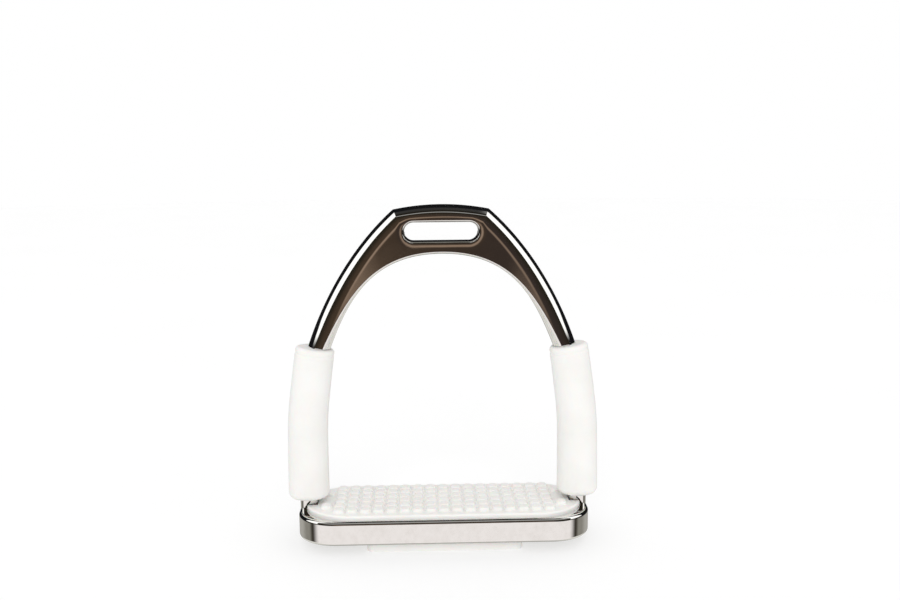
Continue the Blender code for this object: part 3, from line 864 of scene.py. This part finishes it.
def dress_cad_nodes(materials):
    """Finishes for the CAD nodes that stay: the metal inside the sleeves."""
    for row in frame["record"]["subparts"]:
        kept = frame["nodes"][row["node"]]
        if kept.hide_render:
            continue
        kept.data.materials.clear()
        kept.data.materials.append(materials[row["material_slot"]])
        kept.modifiers.new("weld", "WELD").merge_threshold = 0.001 * MM
        edge = kept.modifiers.new("broken edges", "BEVEL")
        edge.width = METAL_EDGE
        edge.segments = 2
        edge.limit_method = "ANGLE"
        edge.angle_limit = math.radians(40)


# ---------------------------------------------------------------- studio

def make_floor():
    """A pale disc under the iron that glows a little, so that only a soft shadow shows."""
    build = bmesh.new()
    bmesh.ops.create_circle(build, cap_ends=True, segments=96, radius=FLOOR_RADIUS)
    mesh = bpy.data.meshes.new("floor")
    build.to_mesh(mesh)
    build.free()
    floor = new_object("floor", mesh)
    material, tree, shader, place = new_material("pale_floor")
    cloud = noise(tree, place, 6, 3)
    colour = blend_colour(tree, cloud, (0.46, 0.46, 0.46), (0.43, 0.43, 0.43))
    connect(tree, shader, Base_Color=colour, Roughness=0.9, Emission_Color=(1, 1, 1, 1),
            Emission_Strength=0.56)
    mesh.materials.append(material)
    floor.visible_glossy = False


def mirrored_front(tree, direction, across, up):
    """The brown wall on the viewer's side, with a ring of light that the bow's crowned face
    draws out into one light streak on each leg."""
    off_axis = node(tree, "ShaderNodeVectorMath", {0: direction, 1: STREAK_CENTRE},
                    operation="DISTANCE").outputs["Value"]
    streak = calc(tree, "MULTIPLY", step(tree, off_axis, 0.06, 0.12),
                  fade(tree, off_axis, 0.13, 0.18))
    streak = calc(tree, "MULTIPLY", streak, step(tree, across, 0.05, 0.2, 1.0, 0.6))
    streak = calc(tree, "MULTIPLY", streak, step(tree, up, -0.20, -0.10, 0.12, 1.0))
    brown = blend_colour(tree, step(tree, across, -0.1, 0.15), WARM_BROWN, COOL_BROWN)
    brown = blend_colour(tree, step(tree, up, -0.24, -0.16), LOW_BROWN, brown)
    brown = blend_colour(tree, streak, brown, STREAK)
    return blend_colour(tree, step(tree, off_axis, 0.22, 0.42), brown, FRONT_EDGE)


def mirrored_behind(tree, deep, up):
    """A black wall, with grey under it and a light patch straight behind the iron."""
    low = blend_colour(tree, step(tree, deep, 0.2, 0.6), LOW_SIDE, LOW_BACK)
    low = blend_colour(tree, step(tree, deep, -0.22, 0.02), LOW_FRONT, low)
    wall = blend_colour(tree, step(tree, up, -0.34, -0.22), low, BLACK_WALL)
    patch = calc(tree, "MULTIPLY", step(tree, deep, 0.88, 0.95), fade(tree, up, -0.08, -0.01))
    return blend_colour(tree, patch, wall, BACK_WALL)


def panel_share(tree, across, deep, up):
    """Where the white panels are: high at both sides, and weakly overhead."""
    sides = calc(tree, "ABSOLUTE", across)
    from_front = calc(tree, "SUBTRACT", deep, step(tree, up, 0.2, 0.95, -0.55, -0.18))
    panels = calc(tree, "MULTIPLY", step(tree, from_front, 0.0, 0.06),
                  fade(tree, deep, 0.16, 0.24))
    panels = calc(tree, "MULTIPLY", panels, step(tree, up, 0.12, 0.18))
    panels = calc(tree, "MULTIPLY", panels, step(tree, sides, 0.22, 0.42, 0.02, 1.0))
    overhead = calc(tree, "MULTIPLY", step(tree, up, 0.5, 0.7), fade(tree, deep, -0.45, -0.25))
    return calc(tree, "MAXIMUM", panels, calc(tree, "MULTIPLY", overhead, 0.3))


def make_world():
    """White round the object for the eye and for soft light. What polished steel mirrors is
    a studio: white panels high at both sides, a white table in front, a pale floor, and brown
    and black walls. Limits are parts of a unit direction; deep is below 0 at the viewer."""
    world = bpy.data.worlds.new("studio")
    bpy.context.scene.world = world
    world.use_nodes = True
    tree = world.node_tree
    direction = node(tree, "ShaderNodeTexCoord").outputs["Generated"]
    parts = node(tree, "ShaderNodeSeparateXYZ", {"Vector": direction}).outputs
    across, deep, up = parts["X"], parts["Y"], parts["Z"]

    mirrored = blend_colour(tree, step(tree, deep, -0.35, 0.05),
                            mirrored_front(tree, direction, across, up),
                            mirrored_behind(tree, deep, up))
    mirrored = blend_colour(tree, panel_share(tree, across, deep, up), mirrored, PANEL)
    sides = calc(tree, "ABSOLUTE", across)
    floor = blend_colour(tree, step(tree, sides, 0.1, 0.6), FLOOR_MIDDLE, FLOOR_SIDES)
    mirrored = blend_colour(tree, fade(tree, up, -0.52, -0.42), mirrored, floor)
    table = calc(tree, "MULTIPLY", fade(tree, up, -0.29, -0.24), fade(tree, deep, -0.55, -0.2))
    mirrored = blend_colour(tree, table, mirrored, TABLE)

    rays = node(tree, "ShaderNodeLightPath").outputs
    soft = blend_colour(tree, rays["Is Camera Ray"], SOFT_LIGHT, BACKDROP)
    seen = blend_colour(tree, rays["Is Glossy Ray"], soft, mirrored)
    tree.links.new(seen, tree.nodes["Background"].inputs["Color"])


def add_sun(name, towards, strength, spread_degrees):
    """A soft sun that shines towards a direction and isn't mirrored in the steel."""
    light = bpy.data.lights.new(name, "SUN")
    light.energy = strength
    light.angle = math.radians(spread_degrees)
    lamp = bpy.data.objects.new(name, light)
    bpy.context.scene.collection.objects.link(lamp)
    lamp.rotation_euler = Vector(towards).to_track_quat("-Z", "Y").to_euler()
    lamp.visible_glossy = False


def make_camera():
    data = bpy.data.cameras.new("camera")
    data.lens = CAMERA_LENS
    data.sensor_width = 36
    camera = bpy.data.objects.new("camera", data)
    bpy.context.scene.collection.objects.link(camera)
    turn = (Matrix.Rotation(CAMERA_YAW, 4, "Z")
            @ Matrix.Rotation(math.pi / 2 - CAMERA_PITCH, 4, "X")
            @ Matrix.Rotation(-CAMERA_ROLL, 4, "Z"))
    camera.matrix_world = Matrix.Translation(CAMERA_PLACE) @ turn
    bpy.context.scene.camera = camera


# ---------------------------------------------------------------- assembly

shared_bow = bow_mesh()
channels = shared_bow.copy()
finishes = {"polished_steel": mirror_steel(), "white_rubber": white_rubber(),
            "link_steel": link_steel(), "bush_bronze": bearing_bronze()}
pieces = {"polished_steel": [make_bow(shared_bow), make_tray()], "white_rubber": [make_pad()]}
for side_name, side_sign in SIDES.items():
    halves = [make_upper_sleeve(side_name, side_sign, channels),
              make_lower_sleeve(side_name, side_sign)]
    for half in halves:
        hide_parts(f"{side_name}_sleeve")
    pieces["white_rubber"] += halves
for finish, made_pieces in pieces.items():
    for piece in made_pieces:
        piece.data.materials.clear()
        piece.data.materials.append(finishes[finish])
dress_cad_nodes(finishes)

make_floor()
make_world()
add_sun("front light", towards=(0.05, 1, -0.7), strength=0.66, spread_degrees=30)
make_camera()
bpy.context.scene.view_settings.view_transform = "Standard"
